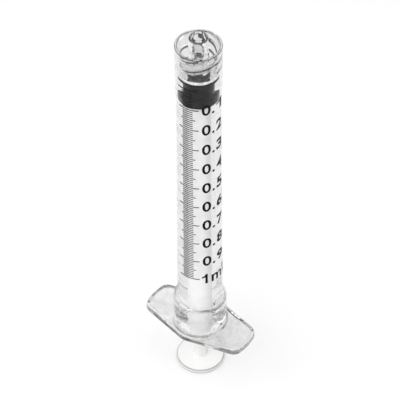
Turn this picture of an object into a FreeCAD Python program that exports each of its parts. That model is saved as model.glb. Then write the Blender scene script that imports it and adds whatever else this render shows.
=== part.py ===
import FreeCAD, Part
import Sketcher
import math
import os

# A one millilitre luer lock syringe, standing tip up on its thumb disc with the plunger pushed in.
# The barrel is one clear moulding: tube, finger flange, luer tip and lock collar. The plunger is a
# round rod with a thumb disc, and its snap head holds a two-rib rubber stopper.
# The origin is the middle of the disc's underside, +Z runs up the axis, and the flange lies along X.

doc = FreeCAD.newDocument("luer_lock_syringe")

# Driving sizes in millimetres. Every diameter, height and clearance is written once, here.
SIZES = {
    # plunger rod
    "disc_diameter": 10.9,
    "disc_thickness": 1.1,
    "disc_rounding": 0.25,
    "disc_chamfer": 0.2,
    "rod_diameter": 2.85,
    "rod_foot_rounding": 0.5,
    "exposed_rod": 10.7,
    # snap head on the end of the rod, and its seat in the stopper
    "neck_diameter": 1.3,
    "neck_length": 1.5,
    "head_diameter": 2.1,
    "head_length": 1.6,
    "head_point_diameter": 1.1,
    "head_clearance": 0.05,
    # stopper
    "stopper_length": 6.7,
    "front_rib_height": 0.75,
    "rear_rib_height": 2.45,
    "waist_diameter": 3.6,
    "waist_slope": 0.3,
    "rib_chamfer": 0.12,
    "stopper_clearance": 0.03,
    "nose_clearance": 0.05,
    # bore
    "bore_diameter": 4.78,
    "bore_length": 75.16,
    "bore_cone_height": 0.4,
    "mouth_chamfer": 0.25,
    # finger flange
    "flange_length": 26.1,
    "flange_width": 13.95,
    "flange_end_width": 8.06,
    "flange_thickness": 1.5,
    "flange_side_rounding": 4.0,
    "flange_corner_rounding": 2.2,
    "flange_edge_rounding": 0.35,
    "flange_chamfer": 0.3,
    # outside of the tube
    "base_diameter": 11.8,
    "base_height": 8.0,
    "base_foot_chamfer": 0.3,
    "shoulder_rounding": 0.55,
    "tube_rear_diameter": 10.1,
    "tube_front_diameter": 9.35,
    # lock collar
    "collar_diameter": 9.77,
    "collar_length": 10.4,
    "collar_taper_length": 3.3,
    "collar_depth": 6.2,
    "front_wall": 1.2,
    "rim_rounding": 0.3,
    "collar_lead_in": 0.35,
    # double-start thread inside the collar
    "thread_root_diameter": 8.1,
    "thread_crest_diameter": 7.0,
    "thread_lead": 5.0,
    "thread_crest_width": 0.3,
    "thread_root_width": 1.0,
    "thread_bury": 0.12,
    "thread_floor_gap": 0.5,
    "thread_rim_gap": 0.45,
    # luer tip: its half angle is that of a six percent taper on diameter
    "luer_end_diameter": 3.95,
    "luer_projection": 2.1,
    "luer_slope": 0.03,
    "luer_chamfer": 0.25,
    "channel_diameter": 2.1,
}
THREAD_STARTS = 2

# The largest share of the base's step over the tube that the rounding of its shoulder takes.
SHOULDER_SHARE = 0.7
# The largest share of the collar's wall that the slope inside its rim takes.
LEAD_IN_SHARE = 0.45
# Two places closer than this, in millimetres, are the same place.
CLOSE = 1e-4
# A feature that changes its body by less than this, in cubic millimetres, has missed it.
SMALLEST_CHANGE = 1e-6

FILLET = "PartDesign::Fillet"
CHAMFER = "PartDesign::Chamfer"

sheet = doc.addObject("Spreadsheet::Sheet", "sizes")
for row, (alias, value) in enumerate(SIZES.items(), start=1):
    sheet.set("A%d" % row, alias)
    sheet.set("B%d" % row, str(value))
    sheet.setAlias("B%d" % row, alias)
doc.recompute()


def size(alias):
    """The value of one driving size."""
    return float(sheet.get(alias))


def half(alias):
    """The expression for half of one driving size."""
    return "(sizes.%s / 2)" % alias


# Heights on the axis, as expressions of the driving sizes.
DISC_TOP = "sizes.disc_thickness"
FLANGE_UNDER = "(%s + sizes.exposed_rod)" % DISC_TOP
FLANGE_TOP = "(%s + sizes.flange_thickness)" % FLANGE_UNDER
BASE_TOP = "(%s + sizes.base_height)" % FLANGE_TOP
BORE_END = "(%s + sizes.bore_length)" % FLANGE_UNDER
CONE_TOP = "(%s + sizes.bore_cone_height)" % BORE_END
COLLAR_FLOOR = "(%s + sizes.front_wall)" % CONE_TOP
RIM = "(%s + sizes.collar_depth)" % COLLAR_FLOOR
COLLAR_BOTTOM = "(%s - sizes.collar_length)" % RIM
TUBE_FRONT = "(%s - sizes.collar_taper_length)" % COLLAR_BOTTOM
LUER_END = "(%s + sizes.luer_projection)" % RIM
STOPPER_FRONT = "(%s - sizes.nose_clearance)" % BORE_END
STOPPER_REAR = "(%s - sizes.stopper_length)" % STOPPER_FRONT
HEAD_REAR = "(%s + sizes.neck_length)" % STOPPER_REAR
HEAD_FRONT = "(%s + sizes.head_length)" % HEAD_REAR

# Radii that follow from more than one driving size.
STOPPER_RADIUS = "(%s - sizes.stopper_clearance)" % half("bore_diameter")
CHANNEL_RADIUS = half("channel_diameter")
LUER_FLOOR_RADIUS = "(%s + sizes.luer_slope * (sizes.collar_depth + sizes.luer_projection))" % (
    half("luer_end_diameter"))


def value_of(expression):
    """The number that an expression of the sheet's sizes gives."""
    return float(sheet.evalExpression(expression))


def new_body(name, label):
    body = doc.addObject("PartDesign::Body", name)
    body.Label = label
    return body


def origin_feature(body, role):
    """One of the body's own origin planes or axes."""
    for feature in body.Origin.OriginFeatures:
        if feature.Role == role:
            return feature
    raise RuntimeError("no origin feature " + role)


def new_sketch(body, name, plane_role):
    sketch = body.newObject("Sketcher::SketchObject", name)
    sketch.AttachmentSupport = [(origin_feature(body, plane_role), "")]
    sketch.MapMode = "FlatFace"
    return sketch


def bind_point(sketch, geometry, vertex, across, along):
    """Ties one point of a sketch to two expressions: its distances from the sketch's axes."""
    for kind, expression in (("DistanceX", across), ("DistanceY", along)):
        at = value_of(expression)
        if abs(at) < CLOSE:
            on_axis = -2 if kind == "DistanceX" else -1
            sketch.addConstraint(Sketcher.Constraint("PointOnObject", geometry, vertex, on_axis))
            continue
        index = sketch.addConstraint(Sketcher.Constraint(kind, -1, 1, geometry, vertex, at))
        sketch.setExpression("Constraints[%d]" % index, expression)


def outline_sketch(body, name, plane_role, corners):
    """A closed outline of straight lines through corners given as pairs of expressions."""
    sketch = new_sketch(body, name, plane_role)
    points = [FreeCAD.Vector(value_of(across), value_of(along), 0) for across, along in corners]
    count = len(points)
    for index in range(count):
        sketch.addGeometry(Part.LineSegment(points[index], points[(index + 1) % count]))
    for index in range(count):
        sketch.addConstraint(Sketcher.Constraint("Coincident", index, 2, (index + 1) % count, 1))
    for index, (across, along) in enumerate(corners):
        bind_point(sketch, index, 1, across, along)
    doc.recompute()
    return sketch


def turned(body, kind, name, corners):
    """A full turn of an outline about the axis: PartDesign::Revolution adds, Groove cuts."""
    sketch = outline_sketch(body, name + "_profile", "XZ_Plane", corners)
    feature = body.newObject(kind, name)
    feature.Profile = sketch
    feature.ReferenceAxis = (sketch, ["V_Axis"])
    feature.Angle = 360
    before = body_volume(body)
    doc.recompute()
    check_change(body, feature, before, adds=(kind == "PartDesign::Revolution"))
    return feature


def body_volume(body):
    shape = body.Shape
    return 0.0 if shape.isNull() else shape.Volume


def check_change(body, feature, before, adds):
    """A feature that points away from its body changes nothing and shows no error."""
    change = body_volume(body) - before
    if (change > 0) != adds or abs(change) < SMALLEST_CHANGE:
        raise RuntimeError("%s changed the volume of %s by %g" % (feature.Name, body.Name, change))


def edge_names(shape, wanted):
    return ["Edge%d" % index for index, edge in enumerate(shape.Edges, start=1) if wanted(edge)]


def circle_at(radius, height):
    """A test for a full circle about the axis with this radius at this height."""
    def wanted(edge):
        curve = edge.Curve
        if not isinstance(curve, Part.Circle):
            return False
        return (abs(curve.Radius - radius) < CLOSE and abs(curve.Center.z - height) < CLOSE
                and math.hypot(curve.Center.x, curve.Center.y) < CLOSE)
    return wanted


def dress(body, kind, name, wanted, amount):
    """A Fillet or Chamfer on the wanted edges of the body, its size given as an expression."""
    base = body.Tip
    names = edge_names(base.Shape, wanted)
    if not names:
        raise RuntimeError("no edge for " + name)
    feature = body.newObject(kind, name)
    feature.Base = (base, names)
    feature.setExpression("Radius" if kind == FILLET else "Size", amount)
    doc.recompute()
    return feature


def dress_circle(body, kind, name, radius, height, amount):
    """A Fillet or Chamfer on the circle of one radius at one height, all given as expressions."""
    return dress(body, kind, name, circle_at(value_of(radius), value_of(height)), amount)


def build_rod():
    """Thumb disc, round rod and the snap head that the stopper is pushed onto."""
    body = new_body("RodBody", "plunger_rod")
    disc = half("disc_diameter")
    rod = half("rod_diameter")
    neck = half("neck_diameter")
    head = half("head_diameter")
    turned(body, "PartDesign::Revolution", "rod", [
        ("0", "0"),
        (disc, "0"),
        (disc, DISC_TOP),
        (rod, DISC_TOP),
        (rod, "(%s - sizes.head_clearance)" % STOPPER_REAR),
        (neck, "(%s - sizes.head_clearance)" % STOPPER_REAR),
        (neck, HEAD_REAR),
        (head, HEAD_REAR),
        (half("head_point_diameter"), HEAD_FRONT),
        ("0", HEAD_FRONT),
    ])
    dress_circle(body, FILLET, "rod_foot", rod, DISC_TOP, "sizes.rod_foot_rounding")
    dress_circle(body, FILLET, "disc_upper_edge", disc, DISC_TOP, "sizes.disc_rounding")
    dress_circle(body, CHAMFER, "disc_lower_edge", disc, "0", "sizes.disc_chamfer")
    return body


def build_stopper():
    """Rubber stopper: front rib with a conical nose, a waist, a rear rib and a socket."""
    body = new_body("StopperBody", "stopper")
    rib = STOPPER_RADIUS
    waist = half("waist_diameter")
    front_rib_rear = "(%s - sizes.front_rib_height)" % STOPPER_FRONT
    rear_rib_front = "(%s + sizes.rear_rib_height)" % STOPPER_REAR
    nose_front = "(%s + sizes.bore_cone_height)" % STOPPER_FRONT
    turned(body, "PartDesign::Revolution", "stopper_outside", [
        ("0", STOPPER_REAR),
        (rib, STOPPER_REAR),
        (rib, rear_rib_front),
        (waist, "(%s + sizes.waist_slope)" % rear_rib_front),
        (waist, "(%s - sizes.waist_slope)" % front_rib_rear),
        (rib, front_rib_rear),
        (rib, STOPPER_FRONT),
        (CHANNEL_RADIUS, nose_front),
        ("0", nose_front),
    ])
    for name, height in (("rear_rib_rear_edge", STOPPER_REAR), ("rear_rib_front_edge", rear_rib_front),
                         ("front_rib_rear_edge", front_rib_rear)):
        dress_circle(body, CHAMFER, name, rib, height, "sizes.rib_chamfer")
    clear = "sizes.head_clearance"
    neck = "(%s + %s)" % (half("neck_diameter"), clear)
    head = "(%s + %s)" % (half("head_diameter"), clear)
    turned(body, "PartDesign::Groove", "stopper_socket", [
        ("0", STOPPER_REAR),
        (neck, STOPPER_REAR),
        (neck, "(%s - %s)" % (HEAD_REAR, clear)),
        (head, "(%s - %s)" % (HEAD_REAR, clear)),
        ("(%s + %s)" % (half("head_point_diameter"), clear), "(%s + %s)" % (HEAD_FRONT, clear)),
        ("0", "(%s + %s)" % (HEAD_FRONT, clear)),
    ])
    return body


def flange_sketch(body):
    """A lozenge with ends cut round the barrel's axis: four straight sides and two arcs."""
    sketch = new_sketch(body, "flange_outline", "XY_Plane")
    sketch.setExpression("AttachmentOffset.Base.z", FLANGE_UNDER)
    reach = size("flange_length") / 2
    side = size("flange_width") / 2
    end_y = size("flange_end_width") / 2
    end_x = math.sqrt(reach ** 2 - end_y ** 2)
    corners = [(0, side), (end_x, end_y), (end_x, -end_y), (0, -side), (-end_x, -end_y), (-end_x, end_y)]
    points = [FreeCAD.Vector(x, y, 0) for x, y in corners]
    top, right_up, right_down, bottom, left_down, left_up = points
    for start, end in ((top, right_up), (right_down, bottom), (bottom, left_down), (left_up, top)):
        sketch.addGeometry(Part.LineSegment(start, end))
    tilt = math.atan2(end_y, end_x)
    circle = Part.Circle(FreeCAD.Vector(0, 0, 0), FreeCAD.Vector(0, 0, 1), reach)
    sketch.addGeometry(Part.ArcOfCircle(circle, -tilt, tilt))
    sketch.addGeometry(Part.ArcOfCircle(circle, math.pi - tilt, math.pi + tilt))
    joins = ((0, 2, 4, 2), (1, 1, 4, 1), (1, 2, 2, 1), (2, 2, 5, 2), (3, 1, 5, 1), (3, 2, 0, 1))
    for first, first_end, second, second_end in joins:
        sketch.addConstraint(Sketcher.Constraint("Coincident", first, first_end, second, second_end))
    for arc in (4, 5):
        sketch.addConstraint(Sketcher.Constraint("Coincident", arc, 3, -1, 1))
        index = sketch.addConstraint(Sketcher.Constraint("Radius", arc, reach))
        sketch.setExpression("Constraints[%d]" % index, half("flange_length"))
    for geometry, vertex in ((0, 1), (1, 2)):
        sketch.addConstraint(Sketcher.Constraint("PointOnObject", geometry, vertex, -2))
    heights = ((0, 1, half("flange_width")), (1, 2, "-" + half("flange_width")),
               (0, 2, half("flange_end_width")), (1, 1, "-" + half("flange_end_width")),
               (3, 1, half("flange_end_width")), (2, 2, "-" + half("flange_end_width")))
    for geometry, vertex, expression in heights:
        at = value_of(expression)
        index = sketch.addConstraint(Sketcher.Constraint("DistanceY", -1, 1, geometry, vertex, at))
        sketch.setExpression("Constraints[%d]" % index, expression)
    doc.recompute()
    return sketch


def build_flange(body):
    """The finger flange, with its corners, sides and edges rounded."""
    pad = body.newObject("PartDesign::Pad", "flange")
    pad.Profile = flange_sketch(body)
    pad.setExpression("Length", "sizes.flange_thickness")
    doc.recompute()

    def upright(on_side):
        def wanted(edge):
            first, last = edge.Vertexes[0].Point, edge.Vertexes[-1].Point
            vertical = abs(first.z - last.z) > CLOSE and math.dist(first[:2], last[:2]) < CLOSE
            return vertical and (abs(first.x) < CLOSE) == on_side
        return wanted

    def level_at(height):
        def wanted(edge):
            return all(abs(vertex.Z - height) < CLOSE for vertex in edge.Vertexes)
        return wanted

    dress(body, FILLET, "flange_sides", upright(True), "sizes.flange_side_rounding")
    dress(body, FILLET, "flange_corners", upright(False), "sizes.flange_corner_rounding")
    front = level_at(value_of(FLANGE_TOP))
    dress(body, FILLET, "flange_front_edge", front, "sizes.flange_edge_rounding")
    rear = level_at(value_of(FLANGE_UNDER))
    dress(body, CHAMFER, "flange_rear_edge", rear, "sizes.flange_chamfer")


def build_thread(body):
    """The collar's right-hand thread: one helical ridge, repeated once for each start."""
    mid = "(%s + sizes.thread_floor_gap + sizes.thread_root_width / 2)" % COLLAR_FLOOR
    flank = "((sizes.thread_root_width - sizes.thread_crest_width) / (sizes.thread_root_diameter"
    flank += " - sizes.thread_crest_diameter))"
    buried_half_width = "(sizes.thread_root_width / 2 + %s * sizes.thread_bury)" % flank
    buried = "(%s + sizes.thread_bury)" % half("thread_root_diameter")
    crest = half("thread_crest_diameter")
    sketch = outline_sketch(body, "thread_profile", "XZ_Plane", [
        (crest, "(%s - sizes.thread_crest_width / 2)" % mid),
        (buried, "(%s - %s)" % (mid, buried_half_width)),
        (buried, "(%s + %s)" % (mid, buried_half_width)),
        (crest, "(%s + sizes.thread_crest_width / 2)" % mid),
    ])
    ridge = body.newObject("PartDesign::AdditiveHelix", "thread_ridge")
    ridge.Profile = sketch
    ridge.ReferenceAxis = (sketch, ["V_Axis"])
    ridge.Mode = "pitch-height-angle"
    ridge.setExpression("Pitch", "sizes.thread_lead")
    climb = "(sizes.collar_depth - sizes.thread_floor_gap - sizes.thread_root_width - sizes.thread_rim_gap)"
    ridge.setExpression("Height", climb)
    ridge.LeftHanded = False
    ridge.Reversed = False
    before = body_volume(body)
    doc.recompute()
    check_change(body, ridge, before, adds=True)
    starts = body.newObject("PartDesign::PolarPattern", "thread_starts")
    starts.Originals = [ridge]
    starts.Axis = (origin_feature(body, "Z_Axis"), [""])
    starts.Angle = 360
    starts.Occurrences = THREAD_STARTS
    before = body_volume(body)
    body.Tip = starts
    doc.recompute()
    check_change(body, starts, before, adds=True)


def build_barrel():
    """The clear moulding: flange, base, tapered tube, lock collar, luer tip and bore."""
    body = new_body("BarrelBody", "barrel")
    build_flange(body)
    base = half("base_diameter")
    collar = half("collar_diameter")
    root = half("thread_root_diameter")
    turned(body, "PartDesign::Revolution", "tube", [
        ("0", FLANGE_UNDER),
        (base, FLANGE_UNDER),
        (base, BASE_TOP),
        (half("tube_rear_diameter"), BASE_TOP),
        (half("tube_front_diameter"), TUBE_FRONT),
        (collar, COLLAR_BOTTOM),
        (collar, RIM),
        (root, RIM),
        (root, COLLAR_FLOOR),
        (LUER_FLOOR_RADIUS, COLLAR_FLOOR),
        (half("luer_end_diameter"), LUER_END),
        ("0", LUER_END),
    ])
    bore = half("bore_diameter")
    turned(body, "PartDesign::Groove", "bore", [
        ("0", FLANGE_UNDER),
        (bore, FLANGE_UNDER),
        (bore, BORE_END),
        (CHANNEL_RADIUS, CONE_TOP),
        (CHANNEL_RADIUS, LUER_END),
        ("0", LUER_END),
    ])
    shoulder_step = "(%s - %s)" % (base, half("tube_rear_diameter"))
    shoulder_rounding = "min(sizes.shoulder_rounding; %g * %s)" % (SHOULDER_SHARE, shoulder_step)
    dress_circle(body, CHAMFER, "base_foot", base, FLANGE_TOP, "sizes.base_foot_chamfer")
    dress_circle(body, FILLET, "shoulder", base, BASE_TOP, shoulder_rounding)
    dress_circle(body, FILLET, "rim_edge", collar, RIM, "sizes.rim_rounding")
    lead_in = "min(sizes.collar_lead_in; %g * (%s - %s))" % (LEAD_IN_SHARE, collar, root)
    dress_circle(body, CHAMFER, "rim_lead_in", root, RIM, lead_in)
    dress_circle(body, CHAMFER, "luer_edge", half("luer_end_diameter"), LUER_END, "sizes.luer_chamfer")
    dress_circle(body, CHAMFER, "mouth", bore, FLANGE_UNDER, "sizes.mouth_chamfer")
    build_thread(body)
    return body


def check_objects():
    """Stops with a plain message if anything in the document failed."""
    for item in doc.Objects:
        if "Invalid" in item.State or "Error" in item.State:
            raise RuntimeError("failed object: %s %s" % (item.Label, item.State))


def export(body):
    shape = body.Shape
    if shape.isNull() or not shape.isValid() or len(shape.Solids) != 1:
        raise RuntimeError("bad shape: " + body.Label)
    shape.exportStep("parts/%s.step" % body.Label)
    box = shape.BoundBox
    print("%-12s volume %9.3f mm3, z %.2f to %.2f" % (body.Label, shape.Volume, box.ZMin, box.ZMax))


bodies = [build_barrel(), build_stopper(), build_rod()]
doc.recompute()
check_objects()
os.makedirs("parts", exist_ok=True)
for piece in bodies:
    export(piece)
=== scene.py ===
import bpy
import bmesh
import math
from mathutils import Matrix, Vector


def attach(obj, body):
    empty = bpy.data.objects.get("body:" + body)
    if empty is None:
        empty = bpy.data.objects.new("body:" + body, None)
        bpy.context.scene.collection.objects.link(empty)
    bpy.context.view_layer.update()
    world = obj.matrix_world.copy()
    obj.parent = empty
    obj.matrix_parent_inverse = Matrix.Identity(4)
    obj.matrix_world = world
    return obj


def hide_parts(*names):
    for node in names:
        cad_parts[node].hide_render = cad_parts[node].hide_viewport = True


# The one millilitre luer lock syringe, dressed. Sizes are in millimetres and heights are along the
# axis from the thumb disc's underside, as in the part's source; MM turns them into metres.

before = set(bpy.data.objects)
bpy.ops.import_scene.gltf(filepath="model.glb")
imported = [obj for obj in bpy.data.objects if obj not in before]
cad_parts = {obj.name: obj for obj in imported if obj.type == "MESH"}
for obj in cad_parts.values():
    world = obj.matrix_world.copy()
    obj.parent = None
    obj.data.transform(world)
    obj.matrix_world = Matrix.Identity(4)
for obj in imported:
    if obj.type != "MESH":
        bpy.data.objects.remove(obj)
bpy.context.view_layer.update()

MM = 0.001
FULL_TURN = 2 * math.pi

# Lengths along the axis, as in the part's source.
DISC_THICKNESS = 1.1
EXPOSED_ROD = 10.7
FLANGE_THICKNESS = 1.5
BASE_HEIGHT = 8.0
BORE_LENGTH = 75.16
CONE_HEIGHT = 0.4
FRONT_WALL = 1.2
COLLAR_DEPTH = 6.2
COLLAR_LENGTH = 10.4
COLLAR_TAPER_LENGTH = 3.3
LUER_PROJECTION = 2.1
STOPPER_LENGTH = 6.7
NECK_LENGTH = 1.5
HEAD_LENGTH = 1.6

# Clearances, as in the part's source.
RIB_CLEARANCE = 0.03
NOSE_CLEARANCE = 0.05
HEAD_CLEARANCE = 0.05

# Heights of the barrel.
FLANGE_UNDER = DISC_THICKNESS + EXPOSED_ROD
FLANGE_TOP = FLANGE_UNDER + FLANGE_THICKNESS
BASE_TOP = FLANGE_TOP + BASE_HEIGHT
ZERO_LINE = FLANGE_UNDER + BORE_LENGTH
CONE_TOP = ZERO_LINE + CONE_HEIGHT
COLLAR_FLOOR = CONE_TOP + FRONT_WALL
RIM = COLLAR_FLOOR + COLLAR_DEPTH
COLLAR_BOTTOM = RIM - COLLAR_LENGTH
TUBE_FRONT = COLLAR_BOTTOM - COLLAR_TAPER_LENGTH
LUER_END = RIM + LUER_PROJECTION

# Heights of the stopper and the rod.
STOPPER_FRONT = ZERO_LINE - NOSE_CLEARANCE
STOPPER_REAR = STOPPER_FRONT - STOPPER_LENGTH
ROD_TOP = STOPPER_REAR - HEAD_CLEARANCE
HEAD_FOOT = ROD_TOP + NECK_LENGTH + HEAD_CLEARANCE
HEAD_TOP = HEAD_FOOT + HEAD_LENGTH
SOCKET_FOOT = HEAD_FOOT - HEAD_CLEARANCE
SOCKET_TOP = HEAD_TOP + HEAD_CLEARANCE

# Radii and slopes of the barrel.
BORE = 2.39
CHANNEL = 1.05
BASE = 5.9
TUBE_REAR = 5.05
TUBE_FRONT_RADIUS = 4.675
COLLAR = 4.885
LUER_RADIUS = 1.975
LUER_SLOPE = 0.03
LUER_CLEAR = 3.0
BORE_MOUTH = 0.25

# The collar's double-start thread.
THREAD_ROOT = 4.05
THREAD_CREST = 3.5
THREAD_LEAD = 5.0
THREAD_FLOOR_GAP = 0.5
THREAD_RIM_GAP = 0.45
RIDGE_HALF_ROOT = 0.5
RIDGE_HALF_CREST = 0.15
RIDGE_START = COLLAR_FLOOR + THREAD_FLOOR_GAP + RIDGE_HALF_ROOT
RIDGE_CLIMB = COLLAR_DEPTH - THREAD_FLOOR_GAP - THREAD_RIM_GAP - 2 * RIDGE_HALF_ROOT
# How far in from the thread's root its ridges are painted dark, as painted shade lines.
RIDGE_PAINT_DEPTH = 0.3
LEAD_IN = 0.35

# The flange: its ends lie on one circle, its straight sides run from the middle to the ends.
FLANGE_END_RADIUS = 13.05
FLANGE_MIDDLE_Y = 6.975
FLANGE_END_Y = 4.03
FLANGE_SIDE_ROUNDING = 4.0
FLANGE_CORNER_ROUNDING = 2.2
FLANGE_LOWER_EDGE = 0.3
FLANGE_UPPER_EDGE = 0.45
# Steps of the upper rounding, and the band on the flange's top from BORDER_OUTSIDE to
# BORDER_INSIDE, that take the painted grey shade.
UPPER_EDGE_GREY_STEPS = 2
FLANGE_SINK = 0.1
BORDER_OUTSIDE = 0.72
BORDER_INSIDE = 0.84

# Rows of the barrel's grid up the flange's side, and where along it they take the painted dark
# line of shade instead of the painted grey.
FLANGE_SIDE_ROWS = range(3, 11)
FLANGE_PAINTED_DARK_START = -9.5
FLANGE_PAINTED_DARK_END = 5.0

# Rod and stopper. A turned outline starts at AXIS, so that its faces don't shrink to a point.
AXIS = 0.02
DISC = 5.45
ROD = 1.425
NECK = 0.65
HEAD = 1.05
HEAD_TIP = 0.55
SOCKET_MOUTH = NECK + HEAD_CLEARANCE
SOCKET = HEAD + HEAD_CLEARANCE
SOCKET_TIP = HEAD_TIP + HEAD_CLEARANCE
WAIST = 1.8
REAR_RIB_HEIGHT = 2.45
FRONT_RIB_HEIGHT = 0.75
WAIST_SLOPE = 0.3

# The printed scale, which starts a little behind the stopper's front edge, as in the photograph.
PRINT_ZERO = 86.53
PRINT_LIFT = 0.006
HUNDREDTH = 0.5542

# Each kind of line: where it starts and ends round the tube, in degrees, and its width.
TENTH_LINE = (-57.6, -0.7, 0.26)
HALF_TENTH_LINE = (-50.0, -9.5, 0.25)
HUNDREDTH_LINE = (-44.9, -15.8, 0.25)

# From one angle on, and over some degrees, the lines get wider round the tube's left side.
WIDER_START = -24
WIDER_OVER = 8
WIDER_BY = 0.07
LINE_PART_DEGREES = 3

# Where the characters start and end round the tube, in degrees, how high and how bold they are.
NOUGHT_PLACE = (7.0, 30.5)
POINT_PLACE = (34.5, 42.5)
TENTHS_PLACE = (48.5, 75.0)
LAST_ONE_PLACE = (5.0, 20.0)
SMALL_M_PLACE = (30.4, 67.2)
BIG_L_PLACE = (72.5, 95.0)
NUMBER_HEIGHT = 2.95
POINT_HEIGHT = 0.62
SMALL_M_HEIGHT = 0.75 * NUMBER_HEIGHT
THIN_STROKE = 0.022
BOLD_STROKE = 0.038
BOLD_FROM = 45
GLYPH_STRIPS = 8

# The photograph's viewpoint: distances in millimetres, angles in radians.
VIEW_AZIMUTH = math.radians(35.5)
VIEW_DISTANCE = 344.34
VIEW_HEIGHT = 399.76
VIEW_PITCH = 0.79224
VIEW_ROLL = math.radians(-0.37)
FOCAL_PIXELS = 2299.3
PICTURE_SIDE = 400
CENTRE_OFFSET_PIXELS = 0.55

# How fine the turned forms are.
SEGMENTS = 240
ROUND_SEGMENTS = 128
EDGE_STEPS = 6
COLLAR_ROWS = 104

# Looks of an outline's points; EDGE and LINE are painted shade, a grey band and a dark line.
PLAIN, SHARP, EDGE, LINE = range(4)

# Material slots of the rod and the barrel.
ROD_PAINTED_SHADE_SLOT = 1
PLASTIC_SLOT, WETTED_SLOT, PAINTED_GREY_SLOT, PAINTED_DARK_SLOT, PAINTED_RIDGE_SLOT, PAINTED_LIGHT_LUER_SLOT = range(6)

# How near the bore a face counts as its wall, and from what height the luer tip's painted light
# and the ridges' painted shade begin.
NEAR = 0.01
TIP_PAINT_START = COLLAR_FLOOR + 0.1

# Levels in metres between which a clear material changes.
# Between the first two levels, the painted glow of trapped light grows from dim to brighter.
PAINTED_GLOW_ZONE = (0.0125, 0.0165)
BASE_ZONE = (0.0205, 0.0225)
WAVE_ZONE = (0.0215, 0.025)

# The range that most values of a noise lie in.
COMMON_NOISE = (0.3, 0.7)

# Refractive indexes; the bore's wall has nearly air's, so that it hides.
PLASTIC_INDEX = 1.49
WETTED_INDEX = 1.005

# After more turns than this inside the plastic, light ends on a painted glow of streaky grey.
TURNS_BEFORE_PAINTED_GLOW = 2.5

# Floor and lamps, in metres.
FLOOR_HALF_SIDE = 1.5
FLOOR_LEVEL = -0.00002
FLOOR_GLOW = 0.24
LAMPS_AIM = Vector((0, 0, 0.045))

toward = Vector((math.sin(VIEW_AZIMUTH), -math.cos(VIEW_AZIMUTH), 0))
rightward = Vector((math.cos(VIEW_AZIMUTH), math.sin(VIEW_AZIMUTH), 0))


# Outlines and grids.

def rounded(corners):
    """An outline from corners (radius, height, rounding, look): (radius, height, look) per point.

    The look is SHARP where the shading breaks, and EDGE or LINE on a rounding painted with a grey
    band or a dark line of shade, which the faces from that point to the next take.
    """
    points = []
    count = len(corners)
    for index, (r, z, rounding, look) in enumerate(corners):
        here = Vector((r, z))
        if not rounding:
            points.append((r, z, look))
            continue
        before = (Vector(corners[index - 1][:2]) - here).normalized()
        after = (Vector(corners[(index + 1) % count][:2]) - here).normalized()
        half = before.angle(after) / 2
        reach = rounding / math.tan(half)
        centre = here + (before + after).normalized() * rounding / math.sin(half)
        start = here + before * reach - centre
        end = here + after * reach - centre
        turn = start.angle_signed(end)
        for step in range(EDGE_STEPS + 1):
            angle = -turn * step / EDGE_STEPS
            across = start.x * math.cos(angle) - start.y * math.sin(angle)
            along = start.x * math.sin(angle) + start.y * math.cos(angle)
            shown = look if step < EDGE_STEPS else PLAIN
            points.append((centre.x + across, centre.y + along, shown))
    return points


def placed(name, data):
    """A new object in the scene, from a mesh, a curve, a lamp or a camera."""
    piece = bpy.data.objects.new(name, data)
    bpy.context.scene.collection.objects.link(piece)
    return piece


def grid_piece(name, rings, closed, sharp_rings=(), caps=()):
    """A piece from rings of points, in millimetres; closed joins the last ring to the first."""
    mesh = bpy.data.meshes.new(name)
    work = bmesh.new()
    rows = []
    for ring in rings:
        rows.append([work.verts.new(Vector(point) * MM) for point in ring])
    count = len(rows[0])
    spans = len(rows) if closed else len(rows) - 1
    for row in range(spans):
        lower = rows[row]
        upper = rows[(row + 1) % len(rows)]
        for index in range(count):
            after = (index + 1) % count
            work.faces.new((lower[index], lower[after], upper[after], upper[index]))
    for row in caps:
        work.faces.new(rows[row])
    for row in sharp_rings:
        for index in range(count):
            edge = work.edges.get((rows[row][index], rows[row][(index + 1) % count]))
            edge.smooth = False
    for face in work.faces:
        face.smooth = True
    bmesh.ops.recalc_face_normals(work, faces=work.faces)
    work.to_mesh(mesh)
    work.free()
    piece = placed(name, mesh)
    even = piece.modifiers.new("even_normals", "WEIGHTED_NORMAL")
    even.weight = 100
    even.keep_sharp = True
    return piece


def ring_by(radius_at, height, segments=SEGMENTS):
    """One level ring about the axis, with its radius from its angle."""
    turn = FULL_TURN / segments
    ring = []
    for k in range(segments):
        r = radius_at(turn * k)
        ring.append((r * math.cos(turn * k), r * math.sin(turn * k), height))
    return ring


def ring_of(radius, height, segments=SEGMENTS):
    """One level round ring about the axis."""
    return ring_by(lambda angle: radius, height, segments)


def turned(name, outline, closed):
    """A full turn of an outline; an open one is closed with a face at each end."""
    rings = [ring_of(r, z, ROUND_SEGMENTS) for r, z, look in outline]
    sharp = [row for row, point in enumerate(outline) if point[2] == SHARP]
    caps = () if closed else (0, len(outline) - 1)
    return grid_piece(name, rings, closed, sharp, caps)


# Materials.

def material(name, colour, roughness, **sockets):
    """A material with one Principled shader; the other sockets are set by their labels."""
    made = bpy.data.materials.new(name)
    made.use_nodes = True
    shader = made.node_tree.nodes["Principled BSDF"]
    shader.inputs["Base Color"].default_value = (*colour, 1)
    shader.inputs["Roughness"].default_value = roughness
    for label, value in sockets.items():
        shader.inputs[label.replace("_", " ")].default_value = value
    return made


def add_node(made, kind, **settings):
    """A node with its sockets or its own settings set by their labels."""
    node = made.node_tree.nodes.new(kind)
    for label, value in settings.items():
        socket = label.replace("_", " ")
        if socket in node.inputs:
            node.inputs[socket].default_value = value
        else:
            setattr(node, label, value)
    return node


def link(made, start, start_socket, end, end_socket):
    """Joins an output of one node to an input of another."""
    made.node_tree.links.new(start.outputs[start_socket], end.inputs[end_socket])


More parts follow.
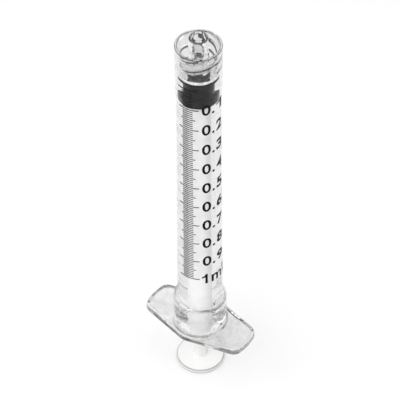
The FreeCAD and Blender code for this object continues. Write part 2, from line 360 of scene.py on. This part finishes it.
def noise(made, scale, detail=2.0, upright=1.0, distortion=0.0):
    """Noise fixed to the object's own coordinates, in metres.

    A higher value of upright packs it closer along the axis.
    """
    place = add_node(made, "ShaderNodeTexCoord")
    squeeze = add_node(made, "ShaderNodeMapping", Scale=(1, 1, upright))
    grain = add_node(made, "ShaderNodeTexNoise", Scale=scale, Detail=detail, Distortion=distortion)
    link(made, place, "Object", squeeze, "Vector")
    link(made, squeeze, "Vector", grain, "Vector")
    return grain


def map_range(made, from_low, from_high, low, high):
    """A node that moves a value from one range to another and holds it at the ends."""
    node = add_node(made, "ShaderNodeMapRange")
    node.inputs["From Min"].default_value = from_low
    node.inputs["From Max"].default_value = from_high
    node.inputs["To Min"].default_value = low
    node.inputs["To Max"].default_value = high
    return node


def noise_between(made, grain, low, high):
    """A noise whose common values are spread over a range."""
    spread = map_range(made, *COMMON_NOISE, low, high)
    link(made, grain, "Fac", spread, "Value")
    return spread


def by_height(made, zone, low, high):
    """A value that goes from low to high between two levels in metres."""
    place = add_node(made, "ShaderNodeTexCoord")
    parts = add_node(made, "ShaderNodeSeparateXYZ")
    level = map_range(made, *zone, low, high)
    link(made, place, "Object", parts, 0)
    link(made, parts, "Z", level, "Value")
    return level


def add_bump(made, grain, strength, distance):
    """Fine relief from a noise."""
    bump = add_node(made, "ShaderNodeBump", Strength=strength, Distance=distance)
    link(made, grain, "Fac", bump, "Height")
    link(made, bump, "Normal", made.node_tree.nodes["Principled BSDF"], "Normal")
    return bump


def add_variation(made, grain, socket, low, high):
    """Lets a noise move one of the shader's values between two numbers."""
    spread = noise_between(made, grain, low, high)
    link(made, spread, "Result", made.node_tree.nodes["Principled BSDF"], socket)
    return spread


def let_lamps_through(made, low, high):
    """Lamps shine through the clear wall; low and high say how well, in the flange and in the tube.

    The tube gathers them on the rod as a lens does, and so its inner face passes on more.

    Light that keeps being turned back inside the wall leaves it somewhere in the end; in its place
    the wall glows a streaky grey from its third turn on, a painted glow, dimmer low in the flange
    than high in the collar.
    """
    nodes = made.node_tree.nodes
    path = nodes.new("ShaderNodeLightPath")
    turned_often = add_node(made, "ShaderNodeMath", operation="GREATER_THAN")
    turned_often.inputs[1].default_value = TURNS_BEFORE_PAINTED_GLOW
    streaks = noise_between(made, noise(made, 900, 3.0), 0.45, 1.5)
    strength = add_node(made, "ShaderNodeMath", operation="MULTIPLY")
    grey = nodes.new("ShaderNodeEmission")
    link(made, by_height(made, PAINTED_GLOW_ZONE, 0.35, 0.85), 0, strength, 0)
    link(made, streaks, 0, strength, 1)
    link(made, strength, 0, grey, "Strength")
    clear = nodes.new("ShaderNodeBsdfTransparent")
    link(made, by_height(made, BASE_ZONE, low, high), 0, clear, "Color")
    wall = nodes.new("ShaderNodeMixShader")
    link(made, path, "Glossy Depth", turned_often, 0)
    link(made, turned_often, 0, wall, 0)
    link(made, nodes["Principled BSDF"], 0, wall, 1)
    link(made, grey, 0, wall, 2)
    choice = nodes.new("ShaderNodeMixShader")
    link(made, path, "Is Shadow Ray", choice, 0)
    link(made, wall, 0, choice, 1)
    link(made, clear, 0, choice, 2)
    link(made, choice, 0, nodes["Material Output"], "Surface")


def clear_material(name, grey, low, high, thick=None):
    """Clear plastic whose tint varies between two greys, with waves in its surface.

    The tint runs in level streaks. Where the flange's and the base's two greys are given in thick,
    it runs in swirls: the plastic's haze with painted light and shade for the streaks that thick
    plastic shows where it bends the light.
    """
    made = material(name, (grey, grey, grey), 0.0, Transmission_Weight=1.0, IOR=PLASTIC_INDEX,
                    Specular_Tint=(0.35, 0.35, 0.35, 1))
    let_lamps_through(made, 0.64, 0.99)
    if thick:
        tint = add_variation(made, noise(made, 300, distortion=1.5), "Base Color", low, high)
        link(made, by_height(made, BASE_ZONE, thick[0], low), 0, tint, "To Min")
        link(made, by_height(made, BASE_ZONE, thick[1], high), 0, tint, "To Max")
    else:
        add_variation(made, noise(made, 260, 3.0, upright=5.0), "Base Color", low, high)
    waves = add_bump(made, noise(made, 320), 0.12, 0.0005)
    link(made, by_height(made, WAVE_ZONE, 0.9, 0.12), 0, waves, "Strength")
    return made


# In the flange and the base, the tint's swirls are partly painted light and shade.
clear_plastic = clear_material("clear_plastic", 0.79, 0.75, 0.83, thick=(0.7, 0.92))
# Painted shade: a streaky grey on roundings and on the flange's sides and border.
painted_grey_edge = clear_material("painted_grey_edge", 0.35, 0.08, 1.0)
# Painted shade: dark lines on the rim, the luer tip's edges and the flange's lower edge and side.
painted_dark_line = clear_material("painted_dark_line", 0.04, 0.01, 0.08)
# Painted light: the luer tip is a lighter clear than the rest of the moulding.
painted_light_luer = clear_material("painted_light_luer", 0.94, 0.9, 0.98)
# Painted shade: dark lines on the thread's ridges.
painted_dark_ridge = clear_material("painted_dark_ridge", 0.02, 0.01, 0.04)
# The bore's wall stands for one that is wetted, so that the rod looks as wide as it should.
wetted_wall = material("wetted_wall", (1.0, 1.0, 1.0), 0.0, Transmission_Weight=1.0,
                       IOR=WETTED_INDEX)
let_lamps_through(wetted_wall, 2.4, 2.8)

white_plastic = material("white_plastic", (0.93, 0.93, 0.925), 0.09, IOR=PLASTIC_INDEX)
# The thumb disc's rounded edges are painted a darker white, painted shade that draws its outline.
painted_shade_white_edge = material("painted_shade_white_edge", (0.5, 0.5, 0.49), 0.09, IOR=PLASTIC_INDEX)
for made in (white_plastic, painted_shade_white_edge):
    add_variation(made, noise(made, 900, 3.0), "Roughness", 0.06, 0.12)
    add_bump(made, noise(made, 500), 0.05, 0.0001)

dark_rubber = material("dark_rubber", (0.005, 0.005, 0.0055), 0.3, Specular_IOR_Level=0.18)
add_variation(dark_rubber, noise(dark_rubber, 700, 4.0), "Roughness", 0.22, 0.42)
add_bump(dark_rubber, noise(dark_rubber, 2500, 3.0), 0.1, 0.00005)

black_ink = material("black_ink", (0.004, 0.004, 0.0045), 0.4, Specular_IOR_Level=0.06)
add_variation(black_ink, noise(black_ink, 4000, 3.0), "Roughness", 0.3, 0.55)


# Barrel.

def flange_radius(angle, offset):
    """Distance from the axis to the flange's outline, moved in by an offset, in one direction."""
    side_rounding = FLANGE_SIDE_ROUNDING - offset
    corner_rounding = FLANGE_CORNER_ROUNDING - offset
    end_x = math.sqrt(FLANGE_END_RADIUS ** 2 - FLANGE_END_Y ** 2)
    slope = math.atan2(FLANGE_MIDDLE_Y - FLANGE_END_Y, end_x)
    normal = Vector((math.sin(slope), math.cos(slope)))
    level = FLANGE_MIDDLE_Y * normal.y - offset
    reach = FLANGE_END_RADIUS - offset
    # One quarter holds, from the Y axis on: side rounding, straight side, corner rounding, end arc.
    side_centre = Vector((0.0, (level - side_rounding) / normal.y))
    inner = level - corner_rounding
    along = Vector((normal.y, -normal.x))
    corner_centre = normal * inner + along * math.sqrt((reach - corner_rounding) ** 2 - inner ** 2)
    side_ends = side_centre + normal * side_rounding
    corner_starts = corner_centre + normal * corner_rounding
    direction = Vector((abs(math.cos(angle)), abs(math.sin(angle))))
    steep = math.atan2(direction.y, direction.x)
    if steep > math.atan2(side_ends.y, side_ends.x):
        return ray_to_circle(direction, side_centre, side_rounding)
    if steep > math.atan2(corner_starts.y, corner_starts.x):
        return level / direction.dot(normal)
    if steep > math.atan2(corner_centre.y, corner_centre.x):
        return ray_to_circle(direction, corner_centre, corner_rounding)
    return reach


def ray_to_circle(direction, centre, radius):
    """The far crossing of a ray from the axis with a circle."""
    along = direction.dot(centre)
    return along + math.sqrt(max(0.0, along ** 2 - centre.length_squared + radius ** 2))


def flange_ring(offset, height):
    """The flange's outline, moved in by an offset, at one height."""
    return ring_by(lambda angle: flange_radius(angle, offset), height)


def flange_rings():
    """(ring, look) up the flange's side and over its top's border."""
    rows = []
    # The lower rounding and the straight side are painted dark lines or grey; the upper rounding's
    # first steps and the top's border are painted grey.
    for step in range(EDGE_STEPS + 1):
        angle = math.pi / 2 * step / EDGE_STEPS
        inward = FLANGE_LOWER_EDGE * (1 - math.sin(angle))
        height = FLANGE_UNDER + FLANGE_LOWER_EDGE * (1 - math.cos(angle))
        rows.append((flange_ring(inward, height), LINE if step < EDGE_STEPS else EDGE))
    straight = FLANGE_TOP - FLANGE_UPPER_EDGE - FLANGE_UNDER - FLANGE_LOWER_EDGE
    for share in (0.25, 0.5, 0.75):
        height = FLANGE_UNDER + FLANGE_LOWER_EDGE + share * straight
        rows.append((flange_ring(0.0, height), LINE))
    for step in range(EDGE_STEPS + 1):
        angle = math.pi / 2 * step / EDGE_STEPS
        inward = FLANGE_UPPER_EDGE * (1 - math.cos(angle))
        height = FLANGE_TOP - FLANGE_UPPER_EDGE * (1 - math.sin(angle))
        look = EDGE if step < UPPER_EDGE_GREY_STEPS else PLAIN
        rows.append((flange_ring(inward, height), look))
    rows.append((flange_ring(BORDER_OUTSIDE, FLANGE_TOP), EDGE))
    rows.append((flange_ring(BORDER_INSIDE, FLANGE_TOP - FLANGE_SINK), PLAIN))
    return rows


def ridge_depth(angle, height):
    """How far the double-start thread stands in from the collar's wall at one place."""
    depth = 0.0
    for start in (0.0, math.pi):
        turn = (angle - start) % FULL_TURN
        along = (turn / FULL_TURN) * THREAD_LEAD
        for lap in (-1, 0, 1):
            travelled = along + lap * THREAD_LEAD
            if not 0.0 <= travelled <= RIDGE_CLIMB:
                continue
            off = abs(height - (RIDGE_START + travelled))
            if off < RIDGE_HALF_ROOT:
                share = (RIDGE_HALF_ROOT - off) / (RIDGE_HALF_ROOT - RIDGE_HALF_CREST)
                depth = max(depth, min(1.0, share))
    return depth * (THREAD_ROOT - THREAD_CREST)


def collar_wall():
    """Rings down the collar's inner wall, with the thread's two ridges in relief."""
    top = RIM - LEAD_IN
    rings = []
    for row in range(COLLAR_ROWS + 1):
        height = top + (COLLAR_FLOOR - top) * row / COLLAR_ROWS
        rings.append(ring_by(lambda angle: THREAD_ROOT - ridge_depth(angle, height), height))
    return rings


def barrel_rows():
    """(ring, look) of the clear moulding: round the flange, up the outside and down the inside."""
    flat = FLANGE_TOP - FLANGE_SINK
    # The base's corners take the painted grey, the rim's roundings the painted dark line.
    outside = rounded([
        (BASE + 1.0, flat, 0, PLAIN),
        (BASE, flat, 0.35, EDGE),
        (BASE, BASE_TOP, 0.55, EDGE),
        (TUBE_REAR, BASE_TOP, 0.2, PLAIN),
        (TUBE_FRONT_RADIUS, TUBE_FRONT, 0, PLAIN),
        (COLLAR, COLLAR_BOTTOM, 0, PLAIN),
        (COLLAR, RIM, 0.14, LINE),
        (THREAD_ROOT + LEAD_IN, RIM, 0.2, LINE),
        (THREAD_ROOT, RIM - LEAD_IN, 0, PLAIN),
    ])
    luer_foot = LUER_RADIUS + LUER_SLOPE * (LUER_END - COLLAR_FLOOR)
    inside = rounded([
        (luer_foot, COLLAR_FLOOR, 0, SHARP),
        (LUER_RADIUS, LUER_END, 0.3, LINE),
        (CHANNEL, LUER_END, 0.12, LINE),
        (CHANNEL, CONE_TOP, 0, SHARP),
        (BORE, ZERO_LINE, 0, SHARP),
        (BORE, FLANGE_UNDER + BORE_MOUTH, 0, SHARP),
    ])
    collar = collar_wall()
    rows = [(ring_of(BORE + BORE_MOUTH, FLANGE_UNDER), SHARP)]
    rows += flange_rings()
    rows += [(ring_of(r, z), look) for r, z, look in outside[1:-1]]
    rows += [(ring, PLAIN) for ring in collar[:-1]]
    rows.append((collar[-1], SHARP))
    rows += [(ring_of(r, z), look) for r, z, look in inside]
    return rows


def barrel_slot(corners, row, look):
    """The material slot of one of the barrel's faces."""
    reach = [math.hypot(corner.x, corner.y) for corner in corners]
    top = max(corner.z for corner in corners)
    if max(reach) < BORE + NEAR and top < ZERO_LINE + NEAR:
        return WETTED_SLOT
    if look == EDGE:
        return PAINTED_GREY_SLOT
    if look == LINE:
        # Over part of the flange's near side, its side rows take the painted dark line; elsewhere
        # they take the painted grey.
        across = corners[0].x if corners[0].y < 0 else -corners[0].x
        dark = FLANGE_PAINTED_DARK_START < across < FLANGE_PAINTED_DARK_END
        return PAINTED_GREY_SLOT if row in FLANGE_SIDE_ROWS and not dark else PAINTED_DARK_SLOT
    if top > TIP_PAINT_START:
        if max(reach) < LUER_CLEAR:
            return PAINTED_LIGHT_LUER_SLOT
        if min(reach) > LUER_CLEAR and max(reach) < THREAD_ROOT - RIDGE_PAINT_DEPTH:
            return PAINTED_RIDGE_SLOT
    return PLASTIC_SLOT


def build_barrel():
    """The clear moulding as one closed grid, each face with the look of its first ring."""
    rows = barrel_rows()
    looks = [look for ring, look in rows]
    sharp = [row for row, look in enumerate(looks) if look == SHARP]
    barrel = grid_piece("barrel_moulding", [ring for ring, look in rows], True, sharp)
    for slot in (clear_plastic, wetted_wall, painted_grey_edge, painted_dark_line, painted_dark_ridge, painted_light_luer):
        barrel.data.materials.append(slot)
    for face in barrel.data.polygons:
        corners = [barrel.data.vertices[index].co / MM for index in face.vertices]
        row = face.index // SEGMENTS
        face.material_index = barrel_slot(corners, row, looks[row])
    return barrel


barrel = build_barrel()
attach(barrel, "barrel")
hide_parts("barrel")


# Stopper and rod.

def build_stopper():
    """The rubber stopper's outside, with the ribs' edges broken, and its socket."""
    rib = BORE - RIB_CLEARANCE
    nose = STOPPER_FRONT + CONE_HEIGHT
    rear_rib_end = STOPPER_REAR + REAR_RIB_HEIGHT
    front_rib_start = STOPPER_FRONT - FRONT_RIB_HEIGHT
    outline = rounded([
        (SOCKET_MOUTH, STOPPER_REAR, 0, SHARP),
        (rib, STOPPER_REAR, 0.12, PLAIN),
        (rib, rear_rib_end, 0.12, PLAIN),
        (WAIST, rear_rib_end + WAIST_SLOPE, 0.1, PLAIN),
        (WAIST, front_rib_start - WAIST_SLOPE, 0.1, PLAIN),
        (rib, front_rib_start, 0.12, PLAIN),
        (rib, STOPPER_FRONT, 0.08, PLAIN),
        (CHANNEL, nose, 0.1, PLAIN),
        (AXIS, nose, 0, SHARP),
        (AXIS, SOCKET_TOP, 0, SHARP),
        (SOCKET_TIP, SOCKET_TOP, 0, SHARP),
        (SOCKET, SOCKET_FOOT, 0, SHARP),
        (SOCKET_MOUTH, SOCKET_FOOT, 0, SHARP),
    ])
    return turned("stopper_rubber", outline, True)


def build_rod():
    """Thumb disc, round rod and snap head."""
    outline = rounded([
        (AXIS, 0.0, 0, PLAIN),
        (DISC, 0.0, 0.35, EDGE),
        (DISC, DISC_THICKNESS, 0.25, EDGE),
        (ROD, DISC_THICKNESS, 0.5, PLAIN),
        (ROD, ROD_TOP, 0, SHARP),
        (NECK, ROD_TOP, 0, SHARP),
        (NECK, HEAD_FOOT, 0, SHARP),
        (HEAD, HEAD_FOOT, 0, SHARP),
        (HEAD_TIP, HEAD_TOP, 0, SHARP),
        (AXIS, HEAD_TOP, 0, PLAIN),
    ])
    moulding = turned("rod_moulding", outline, False)
    for slot in (white_plastic, painted_shade_white_edge):
        moulding.data.materials.append(slot)
    # The disc's rounded edges take the painted shade.
    for face in moulding.data.polygons:
        row = face.index // ROUND_SEGMENTS
        if row < len(outline) and outline[row][2] == EDGE:
            face.material_index = ROD_PAINTED_SHADE_SLOT
    return moulding


stopper = build_stopper()
stopper.data.materials.append(dark_rubber)
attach(stopper, "stopper")
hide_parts("stopper")

rod = build_rod()
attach(rod, "plunger_rod")
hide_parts("plunger_rod")


# Printed scale.

def tube_radius(height):
    """The tube's outside radius at one height."""
    share = (height - BASE_TOP) / (TUBE_FRONT - BASE_TOP)
    if share <= 1:
        return TUBE_REAR + (TUBE_FRONT_RADIUS - TUBE_REAR) * share
    share = min(1.0, (height - TUBE_FRONT) / (COLLAR_BOTTOM - TUBE_FRONT))
    return TUBE_FRONT_RADIUS + (COLLAR - TUBE_FRONT_RADIUS) * share


def on_tube(degrees, height):
    """A point of the print, in metres; degrees run to the right from the middle of its front."""
    r = tube_radius(height) + PRINT_LIFT
    angle = math.radians(degrees)
    place = (toward * math.cos(angle) + rightward * math.sin(angle)) * r
    return Vector((place.x, place.y, height)) * MM


def line_of(number):
    """The kind of one of the scale's lines, which are numbered from its zero."""
    if number % 10 == 0:
        return TENTH_LINE
    if number % 5 == 0:
        return HALF_TENTH_LINE
    return HUNDREDTH_LINE


def build_lines():
    """The scale's lines, which get a little wider round the tube's left side."""
    mesh = bpy.data.meshes.new("scale_lines")
    work = bmesh.new()
    for number in range(101):
        left, right, width = line_of(number)
        height = PRINT_ZERO - number * HUNDREDTH
        parts = max(4, round((right - left) / LINE_PART_DEGREES))
        columns = []
        for part in range(parts + 1):
            degrees = left + (right - left) * part / parts
            leftness = max(0.0, min(1.0, (WIDER_START - degrees) / WIDER_OVER))
            half = (width + WIDER_BY * leftness) / 2
            low = work.verts.new(on_tube(degrees, height - half))
            high = work.verts.new(on_tube(degrees, height + half))
            columns.append((low, high))
        for first, second in zip(columns, columns[1:]):
            work.faces.new((first[0], second[0], second[1], first[1]))
    work.to_mesh(mesh)
    work.free()
    return placed("scale_lines", mesh)


def flagged_one():
    """A one with a flag and no foot, as a flat mesh in a unit box."""
    flat = bpy.data.meshes.new("glyph")
    points = [(0.58, 0, 0), (1, 0, 0), (1, 1, 0), (0.62, 1, 0),
              (0.42, 0.8, 0), (0, 0.72, 0), (0, 0.56, 0), (0.58, 0.66, 0)]
    flat.from_pydata(points, [], [(0, 1, 2, 3, 7), (3, 4, 5, 6, 7)])
    return flat


def font_glyph(character, boldness):
    """A character of the built-in font as a flat mesh in a unit box."""
    curve = bpy.data.curves.new("glyph", "FONT")
    curve.body = character
    curve.offset = boldness
    curve.resolution_u = 6
    holder = placed("glyph", curve)
    bpy.context.view_layer.update()
    drawn = holder.evaluated_get(bpy.context.evaluated_depsgraph_get())
    flat = bpy.data.meshes.new_from_object(drawn)
    bpy.data.objects.remove(holder)
    xs = [vertex.co.x for vertex in flat.vertices]
    ys = [vertex.co.y for vertex in flat.vertices]
    low_x, wide = min(xs), max(xs) - min(xs)
    low_y, tall = min(ys), max(ys) - min(ys)
    for vertex in flat.vertices:
        vertex.co.x = (vertex.co.x - low_x) / wide
        vertex.co.y = (vertex.co.y - low_y) / tall
    return flat


def add_character(work, character, place, foot, top):
    """Wraps one character on the tube; one far round its side is bolder, as in the photograph."""
    left, right = place
    if character == "1":
        flat = flagged_one()
    else:
        flat = font_glyph(character, THIN_STROKE if left < BOLD_FROM else BOLD_STROKE)
    part = bmesh.new()
    part.from_mesh(flat)
    bpy.data.meshes.remove(flat)
    for cut in range(1, GLYPH_STRIPS):
        bmesh.ops.bisect_plane(part, geom=part.verts[:] + part.edges[:] + part.faces[:],
                               plane_co=(cut / GLYPH_STRIPS, 0, 0), plane_no=(1, 0, 0))
    for vertex in part.verts:
        degrees = left + (right - left) * vertex.co.x
        vertex.co = on_tube(degrees, foot + (top - foot) * vertex.co.y)
    wrapped = bpy.data.meshes.new("part")
    part.to_mesh(wrapped)
    part.free()
    work.from_mesh(wrapped)
    bpy.data.meshes.remove(wrapped)


def build_numbers():
    """The numbers at the tenths and the unit at the last line."""
    mesh = bpy.data.meshes.new("scale_numbers")
    work = bmesh.new()
    for tenth in range(1, 11):
        middle = PRINT_ZERO - tenth * 10 * HUNDREDTH
        foot = middle - NUMBER_HEIGHT / 2
        if tenth < 10:
            top = middle + NUMBER_HEIGHT / 2
            add_character(work, "0", NOUGHT_PLACE, foot, top)
            add_character(work, ".", POINT_PLACE, foot, foot + POINT_HEIGHT)
            add_character(work, str(tenth), TENTHS_PLACE, foot, top)
        else:
            add_character(work, "1", LAST_ONE_PLACE, foot, foot + NUMBER_HEIGHT)
            add_character(work, "m", SMALL_M_PLACE, foot, foot + SMALL_M_HEIGHT)
            add_character(work, "L", BIG_L_PLACE, foot, foot + NUMBER_HEIGHT)
    work.to_mesh(mesh)
    work.free()
    return placed("scale_numbers", mesh)


for piece in (build_lines(), build_numbers()):
    piece.data.materials.append(black_ink)
    piece.visible_shadow = False
    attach(piece, "barrel")


# Stage, light and camera.

def floor_material():
    """Matt white, with a glow for the camera and for what the object reflects and bends."""
    made = bpy.data.materials.new("floor_white")
    made.use_nodes = True
    nodes = made.node_tree.nodes
    nodes.clear()
    out = nodes.new("ShaderNodeOutputMaterial")
    matt = nodes.new("ShaderNodeBsdfDiffuse")
    matt.inputs["Color"].default_value = (0.7, 0.7, 0.7, 1)
    glow = nodes.new("ShaderNodeEmission")
    path = nodes.new("ShaderNodeLightPath")
    seen = add_node(made, "ShaderNodeMath", operation="MAXIMUM")
    seen_too = add_node(made, "ShaderNodeMath", operation="MAXIMUM")
    level = add_node(made, "ShaderNodeMath", operation="MULTIPLY")
    level.inputs[1].default_value = FLOOR_GLOW
    total = nodes.new("ShaderNodeAddShader")
    link(made, path, "Is Camera Ray", seen, 0)
    link(made, path, "Is Glossy Ray", seen, 1)
    link(made, seen, 0, seen_too, 0)
    link(made, path, "Is Transmission Ray", seen_too, 1)
    link(made, seen_too, 0, level, 0)
    link(made, level, 0, glow, "Strength")
    link(made, matt, 0, total, 0)
    link(made, glow, 0, total, 1)
    link(made, total, 0, out, "Surface")
    return made


def build_floor():
    """A plain square floor, just under the thumb disc."""
    mesh = bpy.data.meshes.new("floor")
    side = FLOOR_HALF_SIDE
    corners = [(-side, -side, 0), (side, -side, 0), (side, side, 0), (-side, side, 0)]
    mesh.from_pydata(corners, [], [(0, 1, 2, 3)])
    mesh.materials.append(floor_material())
    floor = placed("floor", mesh)
    floor.location.z = FLOOR_LEVEL


def soft_light(name, azimuth, elevation, distance, side, power):
    """A square soft box; azimuth is measured from the camera's side, to the right, in degrees."""
    lamp = bpy.data.lights.new(name, "AREA")
    lamp.shape = "SQUARE"
    lamp.size = side
    lamp.energy = power
    turn = math.radians(azimuth)
    lift = math.radians(elevation)
    flat = toward * math.cos(turn) + rightward * math.sin(turn)
    place = flat * distance * math.cos(lift) + Vector((0, 0, distance * math.sin(lift)))
    thing = placed(name, lamp)
    thing.location = place
    thing.rotation_euler = (LAMPS_AIM - place).to_track_quat("-Z", "Y").to_euler()


def build_world():
    """A studio with a pale ceiling and darker sides, which draw the clear edges as dark lines."""
    world = bpy.data.worlds.new("studio")
    world.use_nodes = True
    nodes = world.node_tree.nodes
    place = nodes.new("ShaderNodeTexCoord")
    parts = nodes.new("ShaderNodeSeparateXYZ")
    ramp = map_range(world, 0.0, 0.6, 0.2, 0.8)
    link(world, place, "Generated", parts, 0)
    link(world, parts, "Z", ramp, "Value")
    link(world, ramp, 0, nodes["Background"], "Strength")
    nodes["Background"].inputs["Color"].default_value = (1, 1, 1, 1)
    bpy.context.scene.world = world


def build_camera():
    """The photograph's viewpoint, with its slight lean."""
    back = (toward * math.cos(VIEW_PITCH) + Vector((0, 0, math.sin(VIEW_PITCH)))).normalized()
    back = (back - rightward * CENTRE_OFFSET_PIXELS / FOCAL_PIXELS).normalized()
    right = Vector((0, 0, 1)).cross(back).normalized()
    up = back.cross(right)
    leaning_right = right * math.cos(VIEW_ROLL) + up * math.sin(VIEW_ROLL)
    leaning_up = up * math.cos(VIEW_ROLL) - right * math.sin(VIEW_ROLL)
    lens = bpy.data.cameras.new("camera")
    lens.sensor_width = 36
    lens.lens = lens.sensor_width * FOCAL_PIXELS / PICTURE_SIDE
    lens.clip_start = 0.01
    camera = placed("camera", lens)
    place = (toward * VIEW_DISTANCE + Vector((0, 0, VIEW_HEIGHT))) * MM
    axes = Matrix((leaning_right, leaning_up, back)).transposed().to_4x4()
    camera.matrix_world = Matrix.Translation(place) @ axes
    bpy.context.scene.camera = camera


build_floor()
build_world()
soft_light("soft_left", azimuth=-80, elevation=45, distance=0.8, side=0.7, power=1.6)
soft_light("soft_front", azimuth=-20, elevation=38, distance=0.9, side=0.6, power=1.8)
soft_light("soft_right", azimuth=70, elevation=40, distance=0.9, side=0.7, power=0.8)
soft_light("soft_top", azimuth=180, elevation=88, distance=0.9, side=0.25, power=0.8)
build_camera()
bpy.context.scene.view_settings.view_transform = "Standard"
